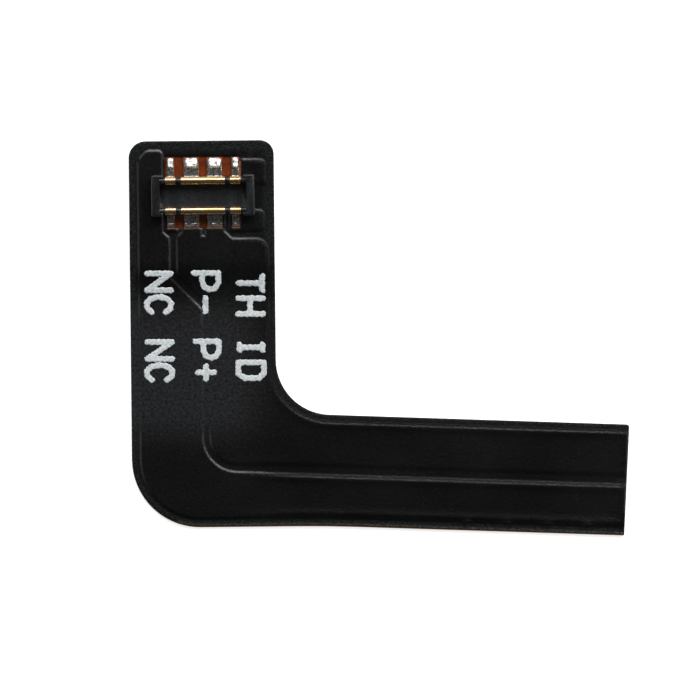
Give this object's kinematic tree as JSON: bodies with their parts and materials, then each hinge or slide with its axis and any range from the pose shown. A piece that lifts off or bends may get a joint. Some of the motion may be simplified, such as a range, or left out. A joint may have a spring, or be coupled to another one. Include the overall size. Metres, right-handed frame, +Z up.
{
  "type": "tablet battery flex lead with board plug",
  "caption": "Flat L-shaped printed flex lead of a tablet battery: two wide conductors under a black coverlay, a small low board plug on the head, and a sheared tail end.",
  "frame": {"origin": "on the resting face, straight under the middle of the plug", "axes": "+X along the tail, +Y towards the end of the head, +Z up through the plug"},
  "size_m": [0.0207, 0.0166, 0.001],
  "materials": {
    "coverlay": "black polyimide coverlay, satin, draped over the copper",
    "base_film": "amber-brown polyimide film, smooth",
    "stiffener": "dark glass-filled laminate, sawn edges",
    "copper": "rolled copper foil, bright at cut edges",
    "housing": "dark moulded liquid-crystal polymer",
    "contact": "thin gold plate on formed copper alloy strip",
    "solder": "bright reflowed tin solder",
    "legend": "white screen-printed ink on the coverlay, terminal marks only"
  },
  "bodies": {
    "root": {"stiffener": "stiffener", "bottom_coverlay": "coverlay", "back_trace_th": "copper", "back_trace_id": "copper", "base_film": "base_film", "via_th": "copper", "via_id": "copper", "conductor_minus": "copper", "conductor_plus": "copper", "island_th": "copper", "island_id": "copper", "pad_nc_upper": "copper", "pad_nc_lower": "copper", "top_coverlay": "coverlay", "plug_housing": "housing", "contact_nc_upper": "contact", "contact_minus": "contact", "contact_th": "contact", "contact_nc_lower": "contact", "contact_plus": "contact", "contact_id": "contact", "solder_nc_upper": "solder", "solder_minus_left": "solder", "solder_minus_right": "solder", "solder_th": "solder", "solder_nc_lower": "solder", "solder_plus_left": "solder", "solder_plus_right": "solder", "solder_id": "solder"}
  },
  "joints": []
}
